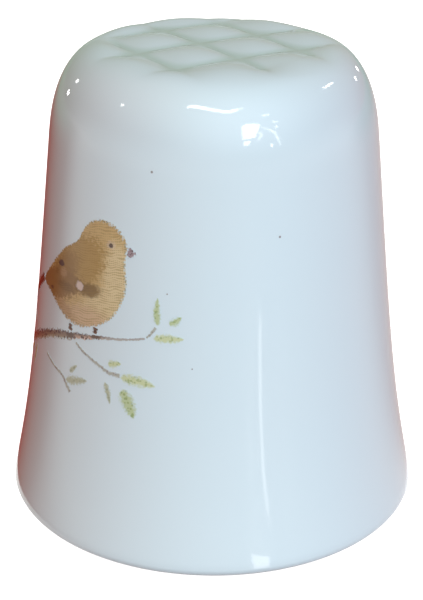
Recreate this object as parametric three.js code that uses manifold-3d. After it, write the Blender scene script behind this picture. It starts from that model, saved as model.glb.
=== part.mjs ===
// Porcelain collector's thimble with a printed bird on a branch.
// Millimetres, +Z up through the crown. The origin is the centre of the rim's foot, and the
// printed picture faces -Y. A slip-cast, glazed porcelain shell carries thin enamel patches,
// the islands of an overglaze transfer print, which follow its outer wall.
import * as THREE from 'three';
import { mergeVertices } from 'three/addons/utils/BufferGeometryUtils.js';
import Module from 'manifold-3d';

// ---- Driving dimensions of the porcelain shell ----
const HEIGHT = 26.35;             // foot to the top of the crown
const RIM_RADIUS = 11.93;         // flared wall carried to the foot; the round lip reaches 11.84
const BELL_RADIUS = 11.18;        // straight wall carried down to the foot, without the flare
const CROWN_WALL_RADIUS = 8.52;   // straight wall carried up to the crown
const FLARE_HEIGHT = 5.1;         // height in which the rim's flare dies away
const FLARE_POWER = 1.29;
const LIP_ROUND = 0.55;           // outer round-over of the rim
const FOOT_WIDTH = 1.0;           // bare flat ring the thimble stands on
const FOOT_BEVEL = 0.45;          // inner break of the edge beside the foot
const SHOULDER_HEIGHT = 5.0;      // drop from the crown to where the straight wall starts
const SHOULDER_WIDTH = 3.1;       // how far the shoulder leans in over that drop
const SHOULDER_POWER = 2.5;       // 2 is an ellipse, higher is squarer
const CROWN_RISE = 0.12;          // how much the crown domes inside the shoulder
const BORE_TOP_RADIUS = 6.9;      // finger bore where its end fillet starts
const BORE_DEPTH = 23.95;         // foot to the bore's end
const BORE_FILLET = 2.2;

// ---- Waffle relief on the crown: square pillows between shallow creases ----
const PILLOW_PITCH = 3.8;
const PILLOW_DEPTH = 0.3;
const PILLOW_TURN = THREE.MathUtils.degToRad(-11);
const PILLOW_SHIFT = [0.7, 0.64];  // lattice offset from the axis, in pitches
const RELIEF_FULL_RADIUS = 5.0;     // the relief is full inside this and gone at the next
const RELIEF_END_RADIUS = 7.4;

// ---- Printed enamel ----
const PRINT_RADIUS = 9.7;         // wall radius on which the picture is laid out flat
const PRINT_BASE = 0.2;           // height of the picture sheet's zero line above the foot
const FILM_GAP = 0.03;            // clearance between the glaze and the film
const FILM_THICKNESS = 0.07;
const FILM_BOTTOM = 7.0;
const FILM_TOP = 19.5;

// ---- Facet counts ----
const WALL_SEGMENTS = 64;
const FILM_SEGMENTS = 120;

const glaze = new THREE.MeshStandardMaterial({ color: 0xdfe9ec, roughness: 0.12, metalness: 0 });
const tanEnamel = new THREE.MeshStandardMaterial({ color: 0xbf9a63, roughness: 0.3, metalness: 0 });
const darkEnamel = new THREE.MeshStandardMaterial({ color: 0x4b3a33, roughness: 0.3, metalness: 0 });
const brownEnamel = new THREE.MeshStandardMaterial({ color: 0x7d6257, roughness: 0.3, metalness: 0 });
const greenEnamel = new THREE.MeshStandardMaterial({ color: 0xb5c37b, roughness: 0.3, metalness: 0 });
const oliveEnamel = new THREE.MeshStandardMaterial({ color: 0x8d9a70, roughness: 0.3, metalness: 0 });

const wasm = await Module();
wasm.setup();

// ---------------------------------------------------------------- shell
// Radius of the plain outer wall, before the lip is rounded and the shoulder turns in.
function wallRadius(z) {
  const straight = BELL_RADIUS + (CROWN_WALL_RADIUS - BELL_RADIUS) * (z / HEIGHT);
  const flare = (RIM_RADIUS - BELL_RADIUS) * Math.exp(-((z / FLARE_HEIGHT) ** FLARE_POWER));
  return straight + flare;
}

function spread(from, to, steps) {
  return Array.from({ length: steps + 1 }, (_, i) => from + ((to - from) * i) / steps);
}

// Inside of the shell, from the bore's end on the axis down to the foot.
function borePoints() {
  const points = [new THREE.Vector2(0, BORE_DEPTH), new THREE.Vector2(2.4, BORE_DEPTH)];
  const filletCentre = BORE_TOP_RADIUS - BORE_FILLET;
  for (const turn of spread(Math.PI / 2, 0, 5)) {
    points.push(new THREE.Vector2(
      filletCentre + BORE_FILLET * Math.cos(turn),
      BORE_DEPTH - BORE_FILLET + BORE_FILLET * Math.sin(turn),
    ));
  }
  const footInner = footOuterRadius() - FOOT_WIDTH;
  const mouth = new THREE.Vector2(footInner - FOOT_BEVEL * 0.6, FOOT_BEVEL);
  const wallTop = points[points.length - 1];
  for (const part of [1 / 3, 2 / 3, 1]) points.push(wallTop.clone().lerp(mouth, part));
  points.push(new THREE.Vector2(footInner, 0));
  return points;
}

function footOuterRadius() {
  return wallRadius(LIP_ROUND) - LIP_ROUND;
}

// Foot, rounded lip and the flared wall up to the shoulder.
function wallPoints() {
  const points = [];
  for (const turn of spread(-Math.PI / 2, 0, 4)) {
    points.push(new THREE.Vector2(
      footOuterRadius() + LIP_ROUND * Math.cos(turn),
      LIP_ROUND + LIP_ROUND * Math.sin(turn),
    ));
  }
  for (const z of [1.4, 2.4, 3.6, 5.0, 6.6, 8.4, 10.6, 13.4, 16.6]) {
    points.push(new THREE.Vector2(wallRadius(z), z));
  }
  return points;
}

// Shoulder: a squarish quarter turn that keeps the wall's slope where it starts.
function shoulderPoints() {
  const start = HEIGHT - SHOULDER_HEIGHT - CROWN_RISE;
  const slope = (wallRadius(start) - wallRadius(start - 0.01)) / 0.01;
  return spread(0, Math.PI / 2, 9).map((turn) => {
    const rise = SHOULDER_HEIGHT * Math.sin(turn) ** (2 / SHOULDER_POWER);
    const lean = SHOULDER_WIDTH * (1 - Math.cos(turn) ** (2 / SHOULDER_POWER));
    return new THREE.Vector2(wallRadius(start) - lean + slope * rise, start + rise);
  });
}

// Crown: a slight dome from the shoulder's inner edge to the axis.
function crownPoints(edgeRadius) {
  const points = [];
  for (const r of spread(edgeRadius, 0, 11).slice(1)) {
    points.push(new THREE.Vector2(r, HEIGHT - CROWN_RISE * (r / edgeRadius) ** 2));
  }
  return points;
}

// Depth of the waffle relief below the smooth crown at a point.
function reliefDepth(x, y) {
  const along = x * Math.cos(PILLOW_TURN) + y * Math.sin(PILLOW_TURN);
  const across = y * Math.cos(PILLOW_TURN) - x * Math.sin(PILLOW_TURN);
  const pillow = [along, across].map((distance, i) => {
    const cell = distance / PILLOW_PITCH + PILLOW_SHIFT[i];
    const fromMiddle = 2 * (cell - Math.round(cell));
    return 1 - fromMiddle ** 2;
  });
  const fade = THREE.MathUtils.smoothstep(Math.hypot(x, y), RELIEF_FULL_RADIUS, RELIEF_END_RADIUS);
  return PILLOW_DEPTH * (1 - pillow[0] * pillow[1]) * (1 - fade);
}

function porcelainBody() {
  const inside = borePoints();
  const shoulder = shoulderPoints();
  const edgeRadius = shoulder[shoulder.length - 1].x;
  const profile = [...inside, ...wallPoints(), ...shoulder, ...crownPoints(edgeRadius)];
  const geometry = new THREE.LatheGeometry(profile, WALL_SEGMENTS);
  geometry.rotateX(Math.PI / 2);
  const position = geometry.getAttribute('position');
  const crownBottom = HEIGHT - SHOULDER_HEIGHT;
  for (let i = 0; i < position.count; i++) {
    const isOutside = i % profile.length >= inside.length;
    if (!isOutside || position.getZ(i) < crownBottom) continue;
    position.setZ(i, position.getZ(i) - reliefDepth(position.getX(i), position.getY(i)));
  }
  geometry.computeVertexNormals();
  return geometry;
}

// ---------------------------------------------------------------- solids
function toSolid(geometry) {
  const bare = geometry.clone();
  bare.deleteAttribute('normal');
  bare.deleteAttribute('uv');
  const merged = mergeVertices(bare, 1e-5);
  const mesh = new wasm.Mesh({
    numProp: 3,
    vertProperties: new Float32Array(merged.getAttribute('position').array),
    triVerts: new Uint32Array(merged.getIndex().array),
  });
  return new wasm.Manifold(mesh);
}

function toGeometry(solid) {
  const mesh = solid.getMesh();
  const geometry = new THREE.BufferGeometry();
  geometry.setAttribute('position', new THREE.Float32BufferAttribute(mesh.vertProperties, 3));
  geometry.setIndex(Array.from(mesh.triVerts));
  geometry.computeVertexNormals();
  return geometry;
}

// A thin sleeve that follows the outer wall, from which every printed patch is cut.
function filmSleeve() {
  const heights = spread(FILM_BOTTOM, FILM_TOP, 12);
  const outer = heights.map((z) => new THREE.Vector2(wallRadius(z) + FILM_GAP + FILM_THICKNESS, z));
  const inner = heights.map((z) => new THREE.Vector2(wallRadius(z) + FILM_GAP, z)).reverse();
  const sleeve = new THREE.LatheGeometry([...outer, ...inner, outer[0].clone()], FILM_SEGMENTS);
  return toSolid(sleeve.rotateX(Math.PI / 2));
}
const sleeve = filmSleeve();

// An outline drawn flat, in millimetres round the wall and up it, becomes a patch of film:
// the outline is bent into a radial block that cuts the sleeve.
function printedPatch(outline) {
  const blockInner = PRINT_RADIUS - 2.2;
  const blockDepth = 4.4;
  const block = new THREE.ExtrudeGeometry(new THREE.Shape(outline), {
    depth: blockDepth, bevelEnabled: false, steps: 1,
  });
  const position = block.getAttribute('position');
  for (let i = 0; i < position.count; i++) {
    const angle = position.getX(i) / PRINT_RADIUS;
    const radius = blockInner + position.getZ(i);
    const height = position.getY(i) + PRINT_BASE;
    position.setXYZ(i, radius * Math.sin(angle), -radius * Math.cos(angle), height);
  }
  return toGeometry(sleeve.intersect(toSolid(block)));
}

// ---------------------------------------------------------------- outlines
const at = (x, z) => new THREE.Vector2(x, z);

// Leaf from its stalk to its tip, widest a little before the middle.
function leafOutline(stalk, tip, width) {
  const steps = 7;
  const spine = tip.clone().sub(stalk);
  const side = new THREE.Vector2(-spine.y, spine.x).normalize();
  const halfWidth = (t) => (width / 2) * Math.sin(Math.PI * t ** 0.8) ** 0.85;
  const upper = spread(0, 1, steps).map((t) => (
    stalk.clone().addScaledVector(spine, t).addScaledVector(side, t === 1 ? 0 : halfWidth(t))));
  const lower = spread(1, 0, steps).slice(1, -1).map((t) => (
    stalk.clone().addScaledVector(spine, t).addScaledVector(side, -halfWidth(t))));
  return [...upper, ...lower].reverse();
}

// Ribbon along a smooth line, tapering from one width to another.
function stemOutline(route, startWidth, endWidth, steps) {
  const line = new THREE.SplineCurve(route);
  const left = [];
  const right = [];
  for (const t of spread(0, 1, steps)) {
    const point = line.getPoint(t);
    const tangent = line.getTangent(t);
    const side = new THREE.Vector2(-tangent.y, tangent.x);
    const half = (startWidth + (endWidth - startWidth) * t) / 2;
    left.push(point.clone().addScaledVector(side, half));
    right.push(point.clone().addScaledVector(side, -half));
  }
  return [...right, ...left.reverse()];
}

// Round body and head of the bird, its back sloping down to the tail.
function birdOutline() {
  const round = new THREE.SplineCurve([
    at(3.15, 17.3), at(2.85, 18.1), at(1.65, 18.6), at(0.34, 18.1), at(-0.29, 17.16),
    at(-1.6, 16.28), at(-3.1, 14.82), at(-4.1, 13.72), at(-3.1, 13.32), at(-1.6, 12.66),
    at(-0.3, 12.36), at(0.9, 12.58), at(2.4, 13.52), at(3.13, 15.02), at(3.12, 16.2),
    at(3.15, 17.3),
  ]);
  return round.getPoints(44).slice(0, -1).reverse();
}

// ---------------------------------------------------------------- assembly
const thimble = new THREE.Group();

function add(name, geometry, material) {
  const mesh = new THREE.Mesh(geometry, material);
  mesh.name = name;
  thimble.add(mesh);
}

add('porcelain_body', porcelainBody(), glaze);

add('bird_print', printedPatch(birdOutline()), tanEnamel);
add('beak_print', printedPatch([at(3.27, 16.88), at(3.72, 17.17), at(3.27, 17.5)]), darkEnamel);
add('tail_print', printedPatch([
  at(-4.3, 13.4), at(-4.3, 14.0), at(-5.1, 13.35), at(-6.7, 11.95), at(-6.9, 11.35), at(-6.2, 11.4),
].reverse()), darkEnamel);
add('left_foot_print', printedPatch([
  at(-0.8, 12.0), at(-0.44, 12.08), at(-0.48, 12.3), at(-0.72, 12.3),
]), darkEnamel);
add('right_foot_print', printedPatch([
  at(1.1, 12.38), at(1.46, 12.46), at(1.4, 12.7), at(1.18, 12.64),
]), darkEnamel);

const branchRoute = [
  at(-7.4, 8.75), at(-5.2, 9.75), at(-3.35, 10.68), at(-2.1, 11.22), at(-0.85, 11.6),
  at(0.03, 11.83), at(1.28, 12.16), at(2.4, 12.37), at(3.4, 12.55), at(4.3, 12.74),
];
add('branch_print', printedPatch(stemOutline(branchRoute, 0.6, 0.16, 26)), brownEnamel);

// Each twig: name, route, width at its start and at its end.
const twigs = [
  ['tip_twig_print', [at(4.5, 12.88), at(4.68, 13.12), at(4.86, 13.42)], 0.14, 0.16],
  ['right_twig_print', [
    at(-0.1, 11.42), at(0.5, 11.12), at(1.4, 10.8), at(1.9, 10.62), at(2.3, 10.47), at(2.9, 10.44),
  ], 0.14, 0.24],
  ['left_twig_print', [
    at(-3.3, 9.55), at(-1.95, 9.42), at(-1.1, 9.27), at(-0.84, 8.9), at(-0.28, 8.55),
  ], 0.14, 0.24],
];
for (const [name, route, startWidth, endWidth] of twigs) {
  add(name, printedPatch(stemOutline(route, startWidth, endWidth, 12)), brownEnamel);
}

// Each leaf: stalk, tip, width, enamel.
const leaves = [
  [at(4.97, 13.62), at(4.92, 15.05), 0.48, greenEnamel],
  [at(5.55, 13.7), at(6.2, 14.15), 0.44, greenEnamel],
  [at(4.76, 12.86), at(6.36, 12.98), 0.52, greenEnamel],
  [at(3.05, 10.38), at(4.95, 10.25), 0.66, greenEnamel],
  [at(3.15, 9.7), at(3.85, 8.25), 0.9, greenEnamel],
  [at(2.2, 9.9), at(2.5, 8.75), 0.38, oliveEnamel],
  [at(2.25, 10.95), at(3.05, 11.15), 0.42, greenEnamel],
  [at(-0.68, 9.12), at(0.98, 9.6), 0.5, oliveEnamel],
  [at(-0.42, 9.66), at(0.15, 10.2), 0.3, oliveEnamel],
  [at(-5.3, 9.2), at(-6.7, 8.3), 0.5, greenEnamel],
  [at(-4.6, 9.5), at(-5.0, 8.1), 0.46, greenEnamel],
  [at(-5.6, 10.5), at(-6.6, 11.05), 0.4, oliveEnamel],
];
leaves.forEach(([stalk, tip, width, enamel], i) => {
  const number = String(i + 1).padStart(2, '0');
  add(`leaf_print_${number}`, printedPatch(leafOutline(stalk, tip, width)), enamel);
});

export default thimble;
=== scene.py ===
import math

import bmesh
import bpy
from mathutils import Matrix, Vector, noise


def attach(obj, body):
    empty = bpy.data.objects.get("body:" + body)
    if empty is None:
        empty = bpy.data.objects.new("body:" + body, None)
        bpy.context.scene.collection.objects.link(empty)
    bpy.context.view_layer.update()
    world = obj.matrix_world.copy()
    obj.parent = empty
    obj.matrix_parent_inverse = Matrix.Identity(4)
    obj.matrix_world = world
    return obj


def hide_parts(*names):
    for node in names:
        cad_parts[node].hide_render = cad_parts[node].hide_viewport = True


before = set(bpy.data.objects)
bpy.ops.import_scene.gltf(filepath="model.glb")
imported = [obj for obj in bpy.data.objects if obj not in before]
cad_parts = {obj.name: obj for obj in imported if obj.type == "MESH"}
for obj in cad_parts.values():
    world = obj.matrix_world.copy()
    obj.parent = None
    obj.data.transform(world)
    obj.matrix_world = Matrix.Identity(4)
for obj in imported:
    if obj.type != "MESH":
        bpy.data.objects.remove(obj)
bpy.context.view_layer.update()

# Porcelain thimble with a printed bird. Metres, +Z up through the crown, the picture faces -Y.
MM = 0.001

# ---- Porcelain shell, in millimetres until a vertex is made ----
HEIGHT = 26.35
FLARE_FOOT_RADIUS = 11.93
BELL_RADIUS = 11.18
CROWN_WALL_RADIUS = 8.52
FLARE_HEIGHT = 5.1
FLARE_POWER = 1.29
LIP_ROUND = 0.55
FOOT_WIDTH = 1.0
FOOT_BEVEL = 0.45
FOOT_BEVEL_WIDTH = 0.27
SHOULDER_HEIGHT = 5.0
SHOULDER_WIDTH = 3.1
SHOULDER_POWER = 2.5
CROWN_RISE = 0.12
BORE_TOP_RADIUS = 6.9
BORE_DEPTH = 23.95
BORE_FILLET = 2.2
SPIN_STEPS = 256

# ---- Waffle relief on the crown ----
PILLOW_PITCH = 3.8
PILLOW_DEPTH = 0.3
PILLOW_TURN = math.radians(-11)
PILLOW_SHIFT = (0.70, 0.64)
RELIEF_FULL_RADIUS = 5.0
RELIEF_END_RADIUS = 7.4

# ---- Printed enamel ----
PRINT_RADIUS = 9.7
PRINT_BASE = 0.2
FILM_LIFT = 0.004
FILM_THICKNESS = 0.008
FILM_EDGE_ANGLE = math.radians(40)
END_FADE = 7.0

# ---- Camera ----
CAMERA_TURN = 46.0
CAMERA_REACH = 77.4
CAMERA_HEIGHT = 44.9
CAMERA_AIM_HEIGHT = 11.12
CAMERA_AIM_SIDE = 0.09
CAMERA_ROLL = 0.32
CAMERA_LENS = 87.8
SENSOR_WIDTH = 36.0
CLIP_START, CLIP_END = 0.005, 10.0

# ---- Glaze and bare porcelain: colours, then roughness, ripple and specks ----
GLAZE_WHITE = (0.765, 0.885, 0.925, 1)
GLAZE_WARM = (0.785, 0.885, 0.915, 1)
# Darker, greener glaze in the crown's creases: partly glaze that pooled there, partly painted shade of
# the creases.
GLAZE_POOLED_AND_SHADED = (0.55, 0.70, 0.64, 1)
BARE_PORCELAIN = (0.80, 0.79, 0.76, 1)
SPECK_BROWN = (0.30, 0.27, 0.26, 1)
GLAZE_ROUGHNESS = 0.05
BARE_ROUGHNESS = 0.75
GLAZE_IOR = 1.5
# The glaze stops between these two heights above the foot.
GLAZE_LINE_LOW, GLAZE_LINE_HIGH = 0.08, 0.35
CLOUD_SCALE, GRAIN_SCALE, RIPPLE_SCALE = 180, 900, 420
RIPPLE_STRENGTH, RIPPLE_HEIGHT = 0.25, 0.02
# How deep in a crease the pooled glaze and painted crease shade begin, and how strong they get.
POOL_AND_SHADE_START, POOL_AND_SHADE_STRENGTH = 0.55, 0.7
# Each dark speck in the glaze: turn round the axis, height and radius.
GLAZE_SPECKS = ((26, 21.7, 0.06), (67, 18.4, 0.055), (32, 15.5, 0.035), (40, 11.6, 0.035),
                (168, 8, 0.055), (-118, 15, 0.05), (-128, 19.4, 0.04))

# ---- Fired enamel and its colours ----
ENAMEL_SPECULAR = 0.22
FIRED_ENAMEL_ROUGHNESS = 0.14
GOLD_TAN = (0.67, 0.46, 0.20, 1)
CHEST_TAN = (0.82, 0.65, 0.37, 1)
BELLY_TAN = (0.72, 0.50, 0.30, 1)
LOW_BELLY = (0.54, 0.34, 0.17, 1)
BACK_OLIVE = (0.50, 0.31, 0.10, 1)
DEEP_OLIVE = (0.38, 0.22, 0.075, 1)
WING_BROWN = (0.33, 0.18, 0.065, 1)
SHADOW_OLIVE = (0.23, 0.125, 0.035, 1)
SPOT_PINK = (0.78, 0.62, 0.54, 1)
EYE_BROWN = (0.09, 0.05, 0.045, 1)
SCREEN_BROWN = (0.36, 0.21, 0.06, 1)
RIM_OLIVE = (0.25, 0.20, 0.08, 1)
KNOT_BROWN = (0.16, 0.10, 0.07, 1)
PALE_BARK = (0.56, 0.53, 0.50, 1)
BEAK_PLUM = (0.42, 0.31, 0.32, 1)
BEAK_DOTS = (0.13, 0.07, 0.08, 1)
DARK_BROWN = (0.20, 0.10, 0.06, 1)
DARK_DOTS = (0.09, 0.045, 0.03, 1)
BARK_BROWN = (0.33, 0.24, 0.18, 1)
BARK_UNDERSIDE = (0.46, 0.39, 0.26, 1)
BARK_ROSE = (0.80, 0.52, 0.40, 1)
BARK_TOP_DOTS = (0.12, 0.08, 0.075, 1)
BARK_DOTS = (0.15, 0.10, 0.09, 1)
TWIG_GREY = (0.52, 0.51, 0.43, 1)
TWIG_DOTS = (0.38, 0.34, 0.31, 1)
LEAF_GREEN, LEAF_GREEN_DOTS = (0.69, 0.73, 0.42, 1), (0.43, 0.50, 0.22, 1)
GREY_OLIVE, GREY_OLIVE_DOTS = (0.56, 0.57, 0.40, 1), (0.40, 0.42, 0.29, 1)
DEEP_GREEN, DEEP_GREEN_DOTS = (0.58, 0.65, 0.36, 1), (0.34, 0.43, 0.17, 1)

# ---- Stage: floor, backdrop, and the panels and cards that only the glaze reflects ----
# Millimetres, except the floor's reach, the backdrop's radius and the fill light's size in metres.
WHITE = (1, 1, 1, 1)
FLOOR_GREY = (0.4, 0.4, 0.4, 1)
FLOOR_REACH, FLOOR_ROUGHNESS, FLOOR_GLOW = 3.0, 0.3, 1.1
CARD_LIFT = 0.3
HAZE_BRIGHT = 1.35
SHEEN_BRIGHT, STREAK_BRIGHT, FOOT_BRIGHT = 4.8, 1.8, 6.0
DOME_RADIUS = 300
PANEL_BRIGHT = 13
CARD_NEAR, CARD_FAR, CARD_SWING = 12.3, 2500, 1.3
DIM_NEAR, DIM_FAR, DIM_GREEN = 80, 2500, (0.29, 0.41, 0.31, 1)
DIM_TURN, DIM_SWEEP = 98, 164
# Each card: turns of its near, far and back edges, and the share of its width that fades.
BACK_CARD = (118, 118, 242, 0.35)
WARM_CARD = (-30, -98, -179, 0.3)
PINK_CARD = (62, 96, 179, 0.4)
HAZE_TURN, HAZE_REACH, HAZE_HEIGHT = 128, 600, 160
BACKDROP_RADIUS = 1.7
WARM_RED = (0.33, 0.01, 0.005, 1)
PALE_PINK = (0.74, 0.61, 0.58, 1)
BACK_GREY = (0.60, 0.52, 0.50, 1)
BACK_FILL_WATTS = 1.0
BACK_FILL_SIZE, BACK_FILL_REACH, BACK_FILL_COLOUR = 0.2, 400, (1.0, 0.94, 0.98)
# Each light: turn from the camera, elevation, sharpness and colour.
WINDOW_DAYLIGHT = (20, 30, 4, (2.2, 2.5, 2.85))
WARM_LEFT_WALL = (-60, 35, 3, (0.55, 0, 0))
GREEN_CEILING = (-35, 50, 4, (0, 0.4, 0.18))
WARM_RIGHT_WALL = (115, 0, 2, (0.3, 0, 0))
DIM_BACK_WALL = (180, 10, 2, (0.3, 0.4, 0.3))
ROOM_LIGHTS = (WINDOW_DAYLIGHT, WARM_LEFT_WALL, GREEN_CEILING, WARM_RIGHT_WALL, DIM_BACK_WALL)


def turned(turn_degrees, radius, height):
    """Point at a turn round the axis, counted from the picture (-Y) towards +X."""
    turn = math.radians(turn_degrees)
    return Vector((radius * math.sin(turn), -radius * math.cos(turn), height))


def spread(start, end, steps):
    return [start + (end - start) * i / steps for i in range(steps + 1)]


def smoothstep(value, start, end):
    t = min(max((value - start) / (end - start), 0.0), 1.0)
    return t * t * (3 - 2 * t)


# ------------------------------------------------------------------ camera
def place_camera():
    data = bpy.data.cameras.new("camera")
    camera = bpy.data.objects.new("camera", data)
    bpy.context.scene.collection.objects.link(camera)
    data.lens = CAMERA_LENS
    data.sensor_width = SENSOR_WIDTH
    data.clip_start = CLIP_START
    data.clip_end = CLIP_END
    place = turned(CAMERA_TURN, CAMERA_REACH, CAMERA_HEIGHT) * MM
    aim = turned(CAMERA_TURN - 90, CAMERA_AIM_SIDE, CAMERA_AIM_HEIGHT) * MM
    look = (aim - place).to_track_quat("-Z", "Y").to_matrix().to_4x4()
    roll = Matrix.Rotation(math.radians(CAMERA_ROLL), 4, "Z")
    camera.matrix_world = Matrix.Translation(place) @ look @ roll
    bpy.context.scene.camera = camera


# ------------------------------------------------------------------ shell outline
def wall_radius(z):
    """Radius of the plain outer wall, before the lip is rounded and the shoulder turns in."""
    straight = BELL_RADIUS + (CROWN_WALL_RADIUS - BELL_RADIUS) * z / HEIGHT
    flare = (FLARE_FOOT_RADIUS - BELL_RADIUS) * math.exp(-((z / FLARE_HEIGHT) ** FLARE_POWER))
    return straight + flare


def foot_outer_radius():
    return wall_radius(LIP_ROUND) - LIP_ROUND


def bore_points():
    """Inside of the shell, from the bore's end on the axis down to the foot."""
    fillet_centre = BORE_TOP_RADIUS - BORE_FILLET
    points = [(r, BORE_DEPTH) for r in spread(0, fillet_centre, 8)[:-1]]
    for turn in spread(math.pi / 2, 0, 14):
        points.append((fillet_centre + BORE_FILLET * math.cos(turn),
                       BORE_DEPTH - BORE_FILLET + BORE_FILLET * math.sin(turn)))
    foot_inner = foot_outer_radius() - FOOT_WIDTH
    mouth = (foot_inner - FOOT_BEVEL_WIDTH, FOOT_BEVEL)
    top = points[-1]
    for part in spread(0, 1, 18)[1:]:
        points.append((top[0] + (mouth[0] - top[0]) * part, top[1] + (mouth[1] - top[1]) * part))
    centre = (foot_inner, FOOT_BEVEL)
    for turn in spread(math.pi, 1.5 * math.pi, 5)[1:]:
        points.append((centre[0] + FOOT_BEVEL_WIDTH * math.cos(turn),
                       centre[1] + FOOT_BEVEL * math.sin(turn)))
    return points


def wall_points():
    """Foot ring, rounded lip and the flared wall up to the shoulder."""
    points = []
    for turn in spread(-math.pi / 2, 0, 10):
        points.append((foot_outer_radius() + LIP_ROUND * math.cos(turn),
                       LIP_ROUND + LIP_ROUND * math.sin(turn)))
    shoulder_start = HEIGHT - SHOULDER_HEIGHT - CROWN_RISE
    for z in spread(LIP_ROUND, shoulder_start, 56)[1:-1]:
        points.append((wall_radius(z), z))
    return points


def shoulder_points():
    start = HEIGHT - SHOULDER_HEIGHT - CROWN_RISE
    slope = (wall_radius(start) - wall_radius(start - 0.01)) / 0.01
    points = []
    for turn in spread(0, math.pi / 2, 48):
        rise = SHOULDER_HEIGHT * max(math.sin(turn), 0) ** (2 / SHOULDER_POWER)
        lean = SHOULDER_WIDTH * (1 - max(math.cos(turn), 0) ** (2 / SHOULDER_POWER))
        points.append((wall_radius(start) - lean + slope * rise, start + rise))
    return points


def crown_points(edge_radius):
    return [(r, HEIGHT - CROWN_RISE * (r / edge_radius) ** 2)
            for r in spread(edge_radius, 0, 56)[1:]]


def relief_depth(x, y):
    """Depth of the waffle below the smooth crown: pillows between shallow creases."""
    along = x * math.cos(PILLOW_TURN) + y * math.sin(PILLOW_TURN)
    across = y * math.cos(PILLOW_TURN) - x * math.sin(PILLOW_TURN)
    pillow = 1.0
    for distance, shift in zip((along, across), PILLOW_SHIFT):
        cell = distance / PILLOW_PITCH + shift
        from_middle = 2 * (cell - math.floor(cell + 0.5))
        pillow *= 1 - from_middle ** 2
    fade = smoothstep(math.hypot(x, y), RELIEF_FULL_RADIUS, RELIEF_END_RADIUS)
    return PILLOW_DEPTH * (1 - pillow) * (1 - fade)


# ------------------------------------------------------------------ mesh helpers
def finished(bm, name, material):
    mesh = bpy.data.meshes.new(name)
    bm.to_mesh(mesh)
    bm.free()
    for polygon in mesh.polygons:
        polygon.use_smooth = True
    piece = bpy.data.objects.new(name, mesh)
    bpy.context.scene.collection.objects.link(piece)
    mesh.materials.append(material)
    return piece


def porcelain_shell(material):
    bm = bmesh.new()
    shoulder = shoulder_points()
    profile = bore_points() + wall_points() + shoulder + crown_points(shoulder[-1][0])
    line = [bm.verts.new((r * MM, 0, z * MM)) for r, z in profile]
    edges = [bm.edges.new(pair) for pair in zip(line, line[1:])]
    bmesh.ops.spin(bm, geom=line + edges, cent=(0, 0, 0), axis=(0, 0, 1),
                   angle=2 * math.pi, steps=SPIN_STEPS, use_merge=True)
    bmesh.ops.remove_doubles(bm, verts=bm.verts, dist=1e-7)
    bmesh.ops.recalc_face_normals(bm, faces=bm.faces)
    crown_bottom = (HEIGHT - SHOULDER_HEIGHT) * MM
    # Crease layer: the crown's creases get a darker, greener glaze, partly pooled glaze and partly
    # painted shade.
    pooled_glaze_and_shade = bm.verts.layers.float.new("pooled_glaze_and_shade")
    for vert in bm.verts:
        x, y = vert.co.x / MM, vert.co.y / MM
        is_outside = vert.co.z > BORE_DEPTH * MM + 1e-6 or math.hypot(x, y) > BORE_TOP_RADIUS + 0.5
        if is_outside and vert.co.z > crown_bottom:
            depth = relief_depth(x, y)
            vert.co.z -= depth * MM
            vert[pooled_glaze_and_shade] = smoothstep(depth / PILLOW_DEPTH, POOL_AND_SHADE_START, 1.0) * POOL_AND_SHADE_STRENGTH
    shell = finished(bm, "porcelain_shell", material)
    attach(shell, "root")
    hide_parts("porcelain_body")
    return shell


# ------------------------------------------------------------------ printed films
def smooth_line(points, steps_per_span, closed=False):
    """Catmull-Rom curve through listed points."""
    count = len(points)
    spans = count if closed else count - 1
    result = []
    for i in range(spans):
        if closed:
            p0, p1, p2, p3 = (Vector(points[(i + k) % count]) for k in (-1, 0, 1, 2))
        else:
            p0 = Vector(points[max(i - 1, 0)])
            p1, p2 = Vector(points[i]), Vector(points[i + 1])
            p3 = Vector(points[min(i + 2, count - 1)])
        for step in range(steps_per_span):
            t = step / steps_per_span
            result.append(0.5 * (2 * p1 + (p2 - p0) * t
                                 + (2 * p0 - 5 * p1 + 4 * p2 - p3) * t * t
                                 + (3 * p1 - p0 - 3 * p2 + p3) * t ** 3))
    if not closed:
        result.append(Vector(points[-1]))
    return result


def wrap_film(bm):
    """Gives a flat film its thickness and bends it round the wall: x runs round, y up, z outwards."""
    layer = bm.loops.layers.uv.new("print")
    bottom = bm.faces[:]
    for face in bottom:
        face.normal_update()
        if face.normal.z > 0:
            face.normal_flip()
    grown = bmesh.ops.extrude_face_region(bm, geom=bottom, use_keep_orig=True)["geom"]
    top = [item for item in grown if isinstance(item, bmesh.types.BMVert)]
    bmesh.ops.translate(bm, verts=top, vec=(0, 0, FILM_THICKNESS))
    for face in bm.faces:
        for loop in face.loops:
            loop[layer].uv = loop.vert.co.xy
    for vert in bm.verts:
        x, y, lift = vert.co
        angle, z = x / PRINT_RADIUS, y + PRINT_BASE
        radius = wall_radius(z) + FILM_LIFT + lift
        vert.co = Vector((radius * math.sin(angle), -radius * math.cos(angle), z)) * MM
    bmesh.ops.recalc_face_normals(bm, faces=bm.faces)
    for edge in bm.edges:
        edge.smooth = edge.calc_face_angle(0.0) < FILM_EDGE_ANGLE


def print_piece(bm, node, material):
    wrap_film(bm)
    film = finished(bm, node + "_enamel", material)
    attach(film, "root")
    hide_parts(node)
    return film


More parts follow.
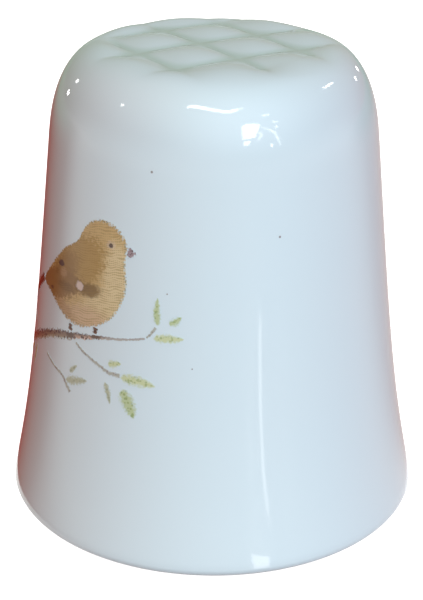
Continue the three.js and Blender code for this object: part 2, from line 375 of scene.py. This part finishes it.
def filled_outline(outline, rings):
    """Flat film whose rings shrink to its middle; 'solid' is 0 at the edge and 1 inside."""
    bm = bmesh.new()
    depth = bm.verts.layers.float.new("solid")
    middle = sum(outline, Vector((0, 0))) / len(outline)
    rim = [bm.verts.new((p.x, p.y, 0)) for p in outline]
    edges = [bm.edges.new((a, b)) for a, b in zip(rim, rim[1:] + rim[:1])]
    for ring in range(1, rings):
        grown = bmesh.ops.extrude_edge_only(bm, edges=edges)["geom"]
        verts = [item for item in grown if isinstance(item, bmesh.types.BMVert)]
        edges = [item for item in grown if isinstance(item, bmesh.types.BMEdge)]
        shrink = (rings - ring) / (rings - ring + 1)
        bmesh.ops.scale(bm, vec=(shrink, shrink, 1), verts=verts,
                        space=Matrix.Translation((-middle.x, -middle.y, 0)))
        for vert in verts:
            vert[depth] = ring / rings
    closing = bmesh.ops.edgeloop_fill(bm, edges=edges)["faces"]
    bmesh.ops.poke(bm, faces=closing)
    return bm


def ribbon(route, width_at, steps, ragged=0.0, seed=0.0, end_fade=END_FADE):
    """Flat strip along a smooth line; width_at gives its width at a share of its length."""
    line = smooth_line(route, steps)
    count = len(line)
    bm = bmesh.new()
    bmesh.ops.create_grid(bm, x_segments=count - 1, y_segments=4, size=0.5)
    depth = bm.verts.layers.float.new("solid")
    side_of = bm.verts.layers.float.new("upper")
    for vert in bm.verts:
        share = vert.co.x + 0.5
        place = min(int(round(share * (count - 1))), count - 1)
        ahead, behind = line[min(place + 1, count - 1)], line[max(place - 1, 0)]
        along = (ahead - behind).normalized()
        side = Vector((-along.y, along.x))
        wobble = 1 + ragged * noise.noise(Vector((share * 14, math.copysign(3, vert.co.y), seed)))
        across = vert.co.y * width_at(share) * wobble
        from_end = min(share, 1 - share) * end_fade
        vert[depth] = (1 - abs(vert.co.y) * 2) * min(from_end, 1.0)
        vert[side_of] = vert.co.y + 0.5
        spot = line[place] + side * across
        vert.co = (spot.x, spot.y, 0)
    bmesh.ops.remove_doubles(bm, verts=bm.verts, dist=1e-5)
    return bm


def leaf(stalk, tip, width, bend):
    """Flat pointed leaf; bend pushes its middle sideways."""
    start, end = Vector(stalk), Vector(tip)
    spine = end - start
    side = Vector((-spine.y, spine.x)).normalized()
    middle = (start + end) / 2 + side * bend
    return ribbon([tuple(start), tuple(middle), tuple(end)],
                  lambda t: width * max(math.sin(math.pi * t ** 0.8), 0.0) ** 0.8, 12,
                  ragged=0.22, seed=stalk[0])


# ------------------------------------------------------------------ materials
def node_tree(name):
    material = bpy.data.materials.new(name)
    material.use_nodes = True
    nodes, links = material.node_tree.nodes, material.node_tree.links
    shader = nodes["Principled BSDF"]
    return material, nodes, links, shader


def mix_colour(nodes, links, factor, first, second):
    mix = nodes.new("ShaderNodeMix")
    mix.data_type = "RGBA"
    for socket, value in ((mix.inputs["Factor"], factor), (mix.inputs[6], first),
                          (mix.inputs[7], second)):
        if isinstance(value, bpy.types.NodeSocket):
            links.new(value, socket)
        else:
            socket.default_value = value
    return mix.outputs[2]


def maths(nodes, links, operation, *values):
    node = nodes.new("ShaderNodeMath")
    node.operation = operation
    for socket, value in zip(node.inputs, values):
        if isinstance(value, bpy.types.NodeSocket):
            links.new(value, socket)
        else:
            socket.default_value = value
    return node.outputs[0]


def step_between(nodes, links, value, start, end, low=0.0, high=1.0):
    """Smooth change from low to high as value goes from start to end."""
    node = nodes.new("ShaderNodeMapRange")
    node.interpolation_type = "SMOOTHSTEP"
    links.new(value, node.inputs["Value"])
    for name, number in (("From Min", start), ("From Max", end), ("To Min", low), ("To Max", high)):
        node.inputs[name].default_value = number
    return node.outputs["Result"]


def noise_at(nodes, links, coordinates, scale, detail=2.0):
    node = nodes.new("ShaderNodeTexNoise")
    node.inputs["Scale"].default_value = scale
    node.inputs["Detail"].default_value = detail
    links.new(coordinates, node.inputs["Vector"])
    return node.outputs["Fac"]


def voronoi_dots(nodes, links, coordinates, scale, radius, soft, scatter):
    """Round dots, one to a cell: 1 inside a dot, 0 between dots."""
    cells = nodes.new("ShaderNodeTexVoronoi")
    cells.inputs["Scale"].default_value = scale
    cells.inputs["Randomness"].default_value = scatter
    links.new(coordinates, cells.inputs["Vector"])
    return step_between(nodes, links, cells.outputs["Distance"], radius + soft, radius - soft)


def glaze_specks(nodes, links, place):
    """Mask of the few pin-head specks of iron that fired dark in the glaze."""
    mask = None
    for turn, height, size in GLAZE_SPECKS:
        offset = nodes.new("ShaderNodeVectorMath")
        offset.operation = "DISTANCE"
        links.new(place, offset.inputs[0])
        offset.inputs[1].default_value = turned(turn, wall_radius(height), height) * MM
        spot = step_between(nodes, links, offset.outputs["Value"], size * 1.5 * MM, size * 0.6 * MM)
        mask = spot if mask is None else maths(nodes, links, "MAXIMUM", mask, spot)
    return mask


def glazed_porcelain():
    material, nodes, links, shader = node_tree("clear glazed porcelain")
    place = nodes.new("ShaderNodeTexCoord").outputs["Object"]
    split = nodes.new("ShaderNodeSeparateXYZ")
    links.new(place, split.inputs[0])
    # Darker, greener glaze mixed into the creases: pooled glaze and painted crease shade.
    pooled_glaze_and_shade = nodes.new("ShaderNodeAttribute")
    pooled_glaze_and_shade.attribute_name = "pooled_glaze_and_shade"
    cloud = noise_at(nodes, links, place, CLOUD_SCALE)
    body = mix_colour(nodes, links, cloud, GLAZE_WHITE, GLAZE_WARM)
    body = mix_colour(nodes, links, pooled_glaze_and_shade.outputs["Fac"], body, GLAZE_POOLED_AND_SHADED)
    body = mix_colour(nodes, links, glaze_specks(nodes, links, place), body, SPECK_BROWN)
    bare = step_between(nodes, links, split.outputs["Z"], GLAZE_LINE_HIGH * MM, GLAZE_LINE_LOW * MM)
    colour = mix_colour(nodes, links, bare, body, BARE_PORCELAIN)
    links.new(colour, shader.inputs["Base Color"])
    grain = noise_at(nodes, links, place, GRAIN_SCALE, 1.0)
    gloss = step_between(nodes, links, grain, 0.3, 0.7, GLAZE_ROUGHNESS - 0.01, GLAZE_ROUGHNESS + 0.02)
    rough = nodes.new("ShaderNodeMix")
    links.new(bare, rough.inputs["Factor"])
    links.new(gloss, rough.inputs[2])
    rough.inputs[3].default_value = BARE_ROUGHNESS
    links.new(rough.outputs[0], shader.inputs["Roughness"])
    ripple = nodes.new("ShaderNodeBump")
    ripple.inputs["Strength"].default_value = RIPPLE_STRENGTH
    ripple.inputs["Distance"].default_value = RIPPLE_HEIGHT * MM
    links.new(noise_at(nodes, links, place, RIPPLE_SCALE, 1.0), ripple.inputs["Height"])
    links.new(ripple.outputs["Normal"], shader.inputs["Normal"])
    shader.inputs["IOR"].default_value = GLAZE_IOR
    return material


class Ink:
    """A printed enamel in the making: its colour is built up on the print's own UV map, in mm."""

    def __init__(self, name, ground):
        self.material, self.nodes, self.links, self.shader = node_tree(name)
        uv = self.nodes.new("ShaderNodeUVMap")
        uv.uv_map = "print"
        self.uv = uv.outputs["UV"]
        self.colour = ground
        self.solid = self.attribute("solid")

    def attribute(self, name):
        node = self.nodes.new("ShaderNodeAttribute")
        node.attribute_name = name
        return node.outputs["Fac"]

    def step(self, value, *limits):
        return step_between(self.nodes, self.links, value, *limits)

    def calculate(self, operation, *values):
        return maths(self.nodes, self.links, operation, *values)

    def placed(self, centre=(0, 0), turn=0.0, size=(1, 1)):
        """The print's UV seen from a centre, turned and measured in units of size."""
        mapping = self.nodes.new("ShaderNodeMapping")
        mapping.vector_type = "TEXTURE"
        mapping.inputs["Location"].default_value = (*centre, 0)
        mapping.inputs["Rotation"].default_value = (0, 0, math.radians(turn))
        mapping.inputs["Scale"].default_value = (*size, 1)
        self.links.new(self.uv, mapping.inputs["Vector"])
        return mapping.outputs["Vector"]

    def noise(self, scale, low, high, coordinates=None):
        tone = noise_at(self.nodes, self.links, coordinates or self.uv, scale, 1.0)
        return self.step(tone, 0.25, 0.75, low, high)

    def tint(self, mask, colour):
        self.colour = mix_colour(self.nodes, self.links, mask, self.colour, colour)

    def patch(self, centre, size, turn, colour, strength=1.0, soft=0.5):
        """Soft-edged oval of another colour: size is its half axes, turn its slant in degrees."""
        reach = self.nodes.new("ShaderNodeVectorMath")
        reach.operation = "LENGTH"
        self.links.new(self.placed(centre, turn, size), reach.inputs[0])
        ragged = self.calculate("ADD", reach.outputs["Value"], self.noise(5.0, -0.16, 0.16))
        self.tint(self.step(ragged, 1 + soft / 2, 1 - soft / 2, 0.0, strength), colour)

    def screen_lines(self, pitch, slant, colour, strength):
        """Broken, slightly wavy lines of the printing screen."""
        split = self.nodes.new("ShaderNodeSeparateXYZ")
        self.links.new(self.placed(turn=slant), split.inputs[0])
        height = self.calculate("ADD", split.outputs["Y"], self.noise(1.1, -0.08, 0.08))
        wave = self.calculate("SINE", self.calculate("MULTIPLY", height, 2 * math.pi / pitch))
        bead = self.calculate("SINE", self.calculate("MULTIPLY", split.outputs["X"], 2 * math.pi / pitch))
        wave = self.calculate("MULTIPLY_ADD", bead, 0.45, wave)
        broken = self.noise(3.2, -0.9, 0.7, self.placed(turn=slant, size=(2.2, 0.8)))
        line = self.step(self.calculate("ADD", wave, broken), -0.1, 0.9, 0.0, strength)
        self.tint(line, colour)

    def specks(self, per_mm, radius, colour, within=None, scatter=0.6):
        """Printed dots; within is a mask of where they fall."""
        mask = voronoi_dots(self.nodes, self.links, self.uv, per_mm, radius, 0.12, scatter)
        if within is not None:
            mask = self.calculate("MULTIPLY", mask, within)
        self.tint(mask, colour)

    def fade_edge(self, bare, covered, ragged=0.1):
        """Lets the glaze show through towards the rim of the film, where 'solid' falls to 0."""
        reach = self.calculate("ADD", self.solid, self.noise(7.0, -ragged, ragged))
        self.cover = self.step(reach, bare, covered)

    def finish(self):
        """Joins the colour and the bare glaze at its edge to the shader."""
        colour = mix_colour(self.nodes, self.links, self.cover, GLAZE_WHITE, self.colour)
        rough = self.step(self.cover, 0.0, 1.0, GLAZE_ROUGHNESS, FIRED_ENAMEL_ROUGHNESS)
        self.links.new(colour, self.shader.inputs["Base Color"])
        self.links.new(rough, self.shader.inputs["Roughness"])
        self.shader.inputs["IOR"].default_value = GLAZE_IOR
        self.shader.inputs["Specular IOR Level"].default_value = ENAMEL_SPECULAR
        return self.material


def bird_enamel():
    """Golden tan plumage with a dark folded wing, drawn with a fine broken line screen."""
    ink = Ink("golden tan enamel", GOLD_TAN)
    ink.patch((2.55, 15.9), (1.0, 1.6), 0, CHEST_TAN, 0.9, 0.8)
    ink.patch((1.75, 14.0), (1.9, 0.95), 30, CHEST_TAN, 0.85, 0.8)
    ink.patch((0.35, 12.95), (1.7, 0.65), 6, BELLY_TAN, 0.9, 0.8)
    ink.patch((-1.7, 13.0), (1.4, 0.5), -14, LOW_BELLY, 0.9, 0.8)
    ink.patch((-0.5, 15.6), (2.5, 1.4), 35, BACK_OLIVE, 0.95, 0.35)
    ink.patch((-1.4, 15.25), (1.3, 0.7), 38, DEEP_OLIVE, 0.9, 0.8)
    ink.patch((-2.2, 14.15), (2.3, 0.85), 16, WING_BROWN, 0.95, 0.45)
    ink.patch((-1.25, 14.2), (0.85, 0.26), 4, SHADOW_OLIVE, 0.8, 0.8)
    ink.patch((0.72, 14.58), (0.8, 0.36), 12, SHADOW_OLIVE, 0.9, 0.8)
    ink.patch((-1.55, 14.9), (0.34, 0.26), 20, LOW_BELLY, 0.7, 0.8)
    ink.patch((-2.3, 14.75), (0.2, 0.14), 20, SHADOW_OLIVE, 0.5, 0.8)
    ink.screen_lines(0.13, 9, SCREEN_BROWN, 0.45)
    ink.patch((-0.05, 14.58), (0.42, 0.36), 0, SHADOW_OLIVE, 0.6, 0.6)
    ink.patch((-0.04, 14.62), (0.3, 0.24), 0, SPOT_PINK, 0.95, 0.5)
    ink.patch((-1.84, 15.32), (0.28, 0.17), 12, EYE_BROWN, 0.9, 0.6)
    ink.patch((-2.75, 13.65), (0.2, 0.1), 10, EYE_BROWN, 0.6, 0.8)
    ink.patch((2.1, 17.36), (0.27, 0.22), 0, SPOT_PINK, 0.3, 0.7)
    ink.patch((2.09, 17.34), (0.13, 0.12), 0, EYE_BROWN, 0.9, 0.6)
    rim = ink.step(ink.solid, 0.09, 0.0)
    ink.specks(6.5, 0.42, RIM_OLIVE, rim)
    ink.fade_edge(-0.01, 0.05, 0.03)
    return ink.finish()


def beak_enamel():
    ink = Ink("plum brown enamel", BEAK_PLUM)
    ink.specks(6.5, 0.4, BEAK_DOTS)
    ink.fade_edge(0.0, 0.45, 0.3)
    return ink.finish()


def dark_enamel():
    ink = Ink("dark brown enamel", DARK_BROWN)
    ink.specks(5.0, 0.42, DARK_DOTS)
    ink.fade_edge(0.0, 0.5, 0.25)
    return ink.finish()


def bark_enamel():
    """Grey-brown bark, darker on top, with a rosy underside and dark knots where the feet hold."""
    ink = Ink("bark brown enamel", BARK_BROWN)
    under = ink.step(ink.attribute("upper"), 0.5, 0.15)
    ink.tint(under, BARK_UNDERSIDE)
    ink.patch((0.75, 11.75), (1.3, 0.3), 15, BARK_ROSE, 0.75, 0.9)
    top = ink.step(ink.attribute("upper"), 0.45, 0.75)
    ink.specks(6.0, 0.5, BARK_TOP_DOTS, top)
    ink.specks(4.5, 0.32, BARK_DOTS)
    ink.patch((3.7, 12.6), (2.0, 0.7), 8, PALE_BARK, 0.75, 0.8)
    ink.patch((1.32, 12.24), (0.34, 0.26), 0, KNOT_BROWN, 0.9, 0.8)
    ink.patch((-0.62, 11.76), (0.34, 0.36), 0, KNOT_BROWN, 0.85, 0.8)
    ink.fade_edge(0.0, 0.55, 0.28)
    return ink.finish()


def twig_enamel():
    ink = Ink("twig grey enamel", TWIG_GREY)
    ink.specks(6.0, 0.42, TWIG_DOTS)
    ink.fade_edge(-0.1, 0.75, 0.25)
    return ink.finish()


def leaf_enamel(name, wash, dots):
    """Pale watercolour wash under darker printed dots."""
    ink = Ink(name, wash)
    inside = ink.step(ink.calculate("ADD", ink.solid, ink.noise(2.6, -0.5, 0.3)), 0.1, 0.6, 0.0, 0.85)
    ink.specks(6.5, 0.45, dots, inside, 0.9)
    ink.fade_edge(-0.1, 0.8, 0.2)
    return ink.finish()


# ------------------------------------------------------------------ stage
def emitting(name, colour, strength=1.0, full_at=None):
    """Plain glowing material; given full_at, it thins out to nothing as 'solid' falls from there."""
    material, nodes, links, shader = node_tree(name)
    glow = nodes.new("ShaderNodeEmission")
    glow.inputs["Color"].default_value = colour
    glow.inputs["Strength"].default_value = strength
    surface = glow.outputs["Emission"]
    if full_at is not None:
        solid = nodes.new("ShaderNodeAttribute")
        solid.attribute_name = "solid"
        mix = nodes.new("ShaderNodeMixShader")
        links.new(step_between(nodes, links, solid.outputs["Fac"], 0.0, full_at), mix.inputs["Fac"])
        links.new(nodes.new("ShaderNodeBsdfTransparent").outputs["BSDF"], mix.inputs[1])
        links.new(surface, mix.inputs[2])
        surface = mix.outputs["Shader"]
    links.new(surface, nodes["Material Output"].inputs["Surface"])
    nodes.remove(shader)
    return material


def only_reflected(panel):
    """Hides a panel from the camera: only the glaze sees it."""
    panel.visible_camera = False
    panel.visible_shadow = False
    panel.visible_diffuse = False


def pale_floor():
    bm = bmesh.new()
    bmesh.ops.create_grid(bm, x_segments=1, y_segments=1, size=FLOOR_REACH)
    material, nodes, links, shader = node_tree("pale floor")
    shader.inputs["Base Color"].default_value = FLOOR_GREY
    shader.inputs["Roughness"].default_value = FLOOR_ROUGHNESS
    shader.inputs["Emission Color"].default_value = WHITE
    shader.inputs["Emission Strength"].default_value = FLOOR_GLOW
    floor = finished(bm, "floor", material)
    floor.visible_diffuse = False


def high_panel(name, bm, strength):
    """Bright shape far out on the room's dome: flat x is its turn from the camera, y its elevation."""
    for vert in bm.verts:
        turn, rise = vert.co.x, math.radians(vert.co.y)
        vert.co = turned(CAMERA_TURN + turn, DOME_RADIUS * math.cos(rise),
                         HEIGHT / 2 + DOME_RADIUS * math.sin(rise)) * MM
    only_reflected(finished(bm, name, emitting(name, WHITE, strength)))


def window_panels():
    """A curtained window to the front right, and the bent strip light over it."""
    pane = [(20, 28), (24, 30), (34, 28), (32, 24), (30, 21), (28, 17), (19, 17)]
    high_panel("window_pane", filled_outline([Vector(p) for p in pane], 2), PANEL_BRIGHT)
    low_pane = [(20, 15), (25, 15), (23, 12), (20, 12)]
    high_panel("window_low_pane", filled_outline([Vector(p) for p in low_pane], 2), PANEL_BRIGHT)
    strips = (
        ("curtain_edge", [(34, 25), (42, 19), (45, 9)], 1.6, 8),
        ("curtain_fold", [(30, 21), (33, 19), (29, 14)], 2.2, 6),
        ("curtain_rail", [(37, 36), (44, 36)], 2.0, 8),
        ("curtain_hook", [(43, 28), (48, 27)], 1.4, 8),
        ("ceiling_strip", [(-25, 48), (-20, 51), (-10, 50), (12, 45), (21, 48)], 4.4, PANEL_BRIGHT),
    )
    for name, route, width, strength in strips:
        shape = ribbon(route, lambda t: width * max(math.sin(math.pi * (0.06 + 0.88 * t)), 0) ** 0.5, 8)
        high_panel(name, shape, strength)


def small_lamps():
    """Far small lamps that show as pin-point lights on the shoulder."""
    for number, (turn, rise, size) in enumerate((
            (-76, 32, 1.5), (-130, 16, 1.5), (-131, 6, 1.5), (24, 48, 1.0),
            (138, 12, 1.5), (150, 7, 1.5), (45, 23, 1.0), (39, 10, 1.0)), 1):
        bm = bmesh.new()
        bmesh.ops.create_circle(bm, cap_ends=True, segments=12, radius=size)
        bmesh.ops.scale(bm, vec=(1 / math.cos(math.radians(rise)), 1, 1), verts=bm.verts)
        bmesh.ops.translate(bm, verts=bm.verts, vec=(turn, rise, 0))
        high_panel(f"small_lamp_{number}", bm, PANEL_BRIGHT)
    slant = ribbon([(106, 36), (118, 32)], lambda t: 2.0, 8)
    high_panel("side_lamp", slant, PANEL_BRIGHT)


def floor_panel(name, bm, colour, strength=1.0, full_at=1.0, lift=CARD_LIFT):
    """Glow lying on the floor: flat x is its turn from the camera, y its distance from the axis."""
    for vert in bm.verts:
        vert.co = turned(CAMERA_TURN + vert.co.x, vert.co.y, lift) * MM
    only_reflected(finished(bm, name, emitting(name, colour, strength, full_at)))


def side_card(near_turn, far_turn, back_turn, fade):
    """Flat card beside the foot whose front edge swings back as it goes out; it fades in from there."""
    bm = bmesh.new()
    bmesh.ops.create_grid(bm, x_segments=48, y_segments=24, size=0.5)
    solid = bm.verts.layers.float.new("solid")
    for vert in bm.verts:
        across, out = vert.co.x + 0.5, vert.co.y + 0.5
        reach = CARD_NEAR * (CARD_FAR / CARD_NEAR) ** out
        edge = far_turn + (near_turn - far_turn) * (CARD_NEAR / reach) ** CARD_SWING
        vert[solid] = min(across, 1 - across) / fade
        vert.co = (edge + (back_turn - edge) * across, reach, 0)
    return bm


def dim_far_floor():
    """Takes the glow off the far floor behind, so that the crown mirrors a dim room."""
    bm = bmesh.new()
    bmesh.ops.create_grid(bm, x_segments=32, y_segments=16, size=0.5)
    solid = bm.verts.layers.float.new("solid")
    for vert in bm.verts:
        across, out = vert.co.x + 0.5, vert.co.y + 0.5
        vert[solid] = min(across * 6, (1 - across) * 6, 1) * min(out * 3, 1)
        vert.co = (DIM_TURN + DIM_SWEEP * across, DIM_NEAR * (DIM_FAR / DIM_NEAR) ** out, 0)
    floor_panel("dim_far_floor", bm, DIM_GREEN, lift=2 * CARD_LIFT)


def horizon_haze():
    """Pale band that carries the floor's glow a little way up past the horizon in the glaze."""
    bm = bmesh.new()
    bmesh.ops.create_grid(bm, x_segments=72, y_segments=6, size=0.5)
    solid = bm.verts.layers.float.new("solid")
    for vert in bm.verts:
        across, up = vert.co.x + 0.5, vert.co.y + 0.5
        vert[solid] = (1 - up) * min(across * 7.5, (1 - across) * 7.5, 1)
        vert.co = turned(CAMERA_TURN + HAZE_TURN * vert.co.x * 2, HAZE_REACH, HAZE_HEIGHT * up) * MM
    only_reflected(finished(bm, "horizon_haze", emitting("horizon_haze", WHITE, HAZE_BRIGHT, 1.0)))


def backdrop():
    """White dome behind the floor, there only for the camera."""
    bm = bmesh.new()
    bmesh.ops.create_uvsphere(bm, u_segments=48, v_segments=24, radius=BACKDROP_RADIUS)
    dome = finished(bm, "backdrop", emitting("backdrop white", WHITE))
    dome.visible_diffuse = False
    dome.visible_glossy = False
    dome.visible_shadow = False


def room_light():
    """Room light as broad soft lobes, one for each of ROOM_LIGHTS."""
    world = bpy.data.worlds.new("room")
    bpy.context.scene.world = world
    world.use_nodes = True
    nodes, links = world.node_tree.nodes, world.node_tree.links
    direction = nodes.new("ShaderNodeTexCoord").outputs["Generated"]
    total = None
    for turn, rise, sharpness, colour in ROOM_LIGHTS:
        toward = nodes.new("ShaderNodeVectorMath")
        toward.operation = "DOT_PRODUCT"
        links.new(direction, toward.inputs[0])
        rise = math.radians(rise)
        toward.inputs[1].default_value = turned(CAMERA_TURN + turn, math.cos(rise), math.sin(rise))
        facing = maths(nodes, links, "MAXIMUM", toward.outputs["Value"], 0.0)
        lobe = maths(nodes, links, "POWER", facing, sharpness)
        add = nodes.new("ShaderNodeVectorMath")
        add.operation = "MULTIPLY_ADD"
        links.new(lobe, add.inputs[0])
        add.inputs[1].default_value = colour
        if total is not None:
            links.new(total, add.inputs[2])
        total = add.outputs["Vector"]
    links.new(total, nodes["Background"].inputs["Color"])


def back_fill():
    """Broad soft light from behind that lifts the far side and makes no highlight."""
    light = bpy.data.lights.new("back_fill", "AREA")
    light.shape = "RECTANGLE"
    light.size, light.size_y = BACK_FILL_SIZE, BACK_FILL_SIZE
    light.energy = BACK_FILL_WATTS
    light.color = BACK_FILL_COLOUR
    lamp = bpy.data.objects.new("back_fill", light)
    bpy.context.scene.collection.objects.link(lamp)
    middle = Vector((0, 0, HEIGHT / 2))
    place = turned(CAMERA_TURN + 180, BACK_FILL_REACH, HEIGHT)
    lamp.matrix_world = (Matrix.Translation(place * MM)
                         @ (middle - place).to_track_quat("-Z", "Y").to_matrix().to_4x4())
    lamp.visible_camera = False
    lamp.visible_glossy = False


def light_stage():
    room_light()
    back_fill()
    window_panels()
    small_lamps()
    backdrop()
    horizon_haze()
    dim_far_floor()
    floor_panel("back_card", side_card(*BACK_CARD), BACK_GREY, lift=CARD_LIFT / 2)
    floor_panel("warm_card", side_card(*WARM_CARD), WARM_RED)
    floor_panel("pink_card", side_card(*PINK_CARD), PALE_PINK)
    sheen = ribbon([(25, 27), (25, 38), (27, 66), (28, 74)],
                   lambda t: 1.9 + 1.5 * t, 8, end_fade=12)
    floor_panel("window_sheen", sheen, WHITE, SHEEN_BRIGHT, 0.8)
    streak = ribbon([(28, 21), (34, 28), (37, 54)], lambda t: 1.0, 10, end_fade=6)
    floor_panel("window_streak", streak, WHITE, STREAK_BRIGHT, 0.8)
    foot = [(14, 18), (20, 16), (16, 12), (11, 12)]
    floor_panel("window_foot", filled_outline([Vector(p) for p in foot], 4), WHITE, FOOT_BRIGHT, 0.3)


# ------------------------------------------------------------------ picture
def print_bird():
    outline = smooth_line([
        (3.15, 17.3), (3.02, 17.8), (2.5, 18.34), (1.65, 18.6), (0.9, 18.47), (0.34, 18.1),
        (-0.05, 17.6), (-0.29, 17.16), (-0.85, 16.74), (-1.6, 16.28), (-2.35, 15.6),
        (-3.1, 14.82), (-3.85, 14.08), (-4.1, 13.72), (-3.85, 13.47), (-3.1, 13.32),
        (-2.35, 13.02), (-1.6, 12.66), (-0.72, 12.39), (0.15, 12.38), (0.9, 12.58), (1.65, 12.9),
        (2.4, 13.52), (2.9, 14.34), (3.13, 15.02), (3.17, 15.65), (3.08, 16.3), (3.06, 16.8),
    ], 6, closed=True)
    print_piece(filled_outline(outline, 24), "bird_print", bird_enamel())


def print_small_dark_marks():
    beak = smooth_line([(3.1, 16.88), (3.42, 16.92), (3.68, 17.17), (3.45, 17.4), (3.16, 17.5)],
                       4, closed=True)
    print_piece(filled_outline(beak, 8), "beak_print", beak_enamel())
    dark = dark_enamel()
    tail = [(-4.13, 13.72), (-4.9, 13.2), (-5.8, 12.4), (-6.85, 11.45)]
    print_piece(ribbon(tail, lambda t: 0.62 + 0.3 * t - 0.4 * t * t, 12, 0.15, 1.0, end_fade=60),
                "tail_print", dark)
    for node, foot in (("left_foot_print", [(-0.62, 11.95), (-0.6, 12.34)]),
                       ("right_foot_print", [(1.28, 12.34), (1.3, 12.7)])):
        print_piece(ribbon(foot, lambda t: 0.42 - 0.1 * t, 8, 0.3, foot[0][0], end_fade=30),
                    node, dark)


def branch_width(share):
    return 0.62 - 0.46 * smoothstep(share, 0.3, 0.9)


def print_branch_and_twigs():
    branch = [(-7.4, 8.75), (-5.2, 9.75), (-3.35, 10.68), (-2.1, 11.22), (-0.85, 11.6),
              (0.03, 11.83), (1.28, 12.16), (2.4, 12.37), (3.4, 12.55), (4.32, 12.76)]
    print_piece(ribbon(branch, branch_width, 14, 0.35, 0.5, end_fade=40),
                "branch_print", bark_enamel())
    twig = twig_enamel()
    twigs = (
        ("tip_twig_print", [(4.37, 12.82), (4.62, 13.08), (4.86, 13.46)], 0.22),
        ("right_twig_print", [(-0.1, 11.46), (0.5, 11.12), (1.4, 10.8), (1.9, 10.62), (2.3, 10.47),
                              (2.98, 10.44)], 0.28),
        ("left_twig_print", [(-2.9, 9.75), (-1.95, 9.42), (-1.1, 9.22), (-0.7, 8.9),
                             (-0.28, 8.5)], 0.26),
    )
    for node, route, width in twigs:
        print_piece(ribbon(route, lambda t: width * (0.55 + 0.6 * t), 10, 0.4, width, end_fade=25),
                    node, twig)


def print_leaves():
    green = leaf_enamel("leaf green enamel", LEAF_GREEN, LEAF_GREEN_DOTS)
    olive = leaf_enamel("grey olive enamel", GREY_OLIVE, GREY_OLIVE_DOTS)
    deep = leaf_enamel("deep leaf green enamel", DEEP_GREEN, DEEP_GREEN_DOTS)
    leaves = (
        ((4.97, 13.55), (4.92, 15.05), 0.5, 0.06, deep),
        ((5.55, 13.7), (6.2, 14.15), 0.5, -0.05, deep),
        ((4.72, 12.86), (6.36, 12.98), 0.6, 0.0, green),
        ((2.98, 10.4), (4.95, 10.25), 0.74, 0.05, green),
        ((3.1, 9.75), (3.85, 8.25), 0.98, 0.05, deep),
        ((2.1, 9.9), (2.45, 8.75), 0.42, 0.04, olive),
        ((2.2, 10.92), (3.02, 11.15), 0.5, 0.0, green),
        ((-0.75, 9.05), (0.95, 9.6), 0.6, 0.0, olive),
        ((-0.45, 9.62), (0.12, 10.2), 0.34, 0.0, olive),
        ((-5.3, 9.2), (-6.7, 8.3), 0.5, 0.06, green),
        ((-4.6, 9.5), (-5.0, 8.1), 0.46, -0.05, green),
        ((-5.6, 10.5), (-6.6, 11.05), 0.4, 0.0, olive),
    )
    for number, (stalk, tip, width, bend, enamel) in enumerate(leaves, 1):
        print_piece(leaf(stalk, tip, width, bend), f"leaf_print_{number:02d}", enamel)


# ------------------------------------------------------------------ make it all
bpy.context.scene.view_settings.view_transform = "Standard"
place_camera()
pale_floor()
light_stage()
porcelain_shell(glazed_porcelain())
print_bird()
print_small_dark_marks()
print_branch_and_twigs()
print_leaves()
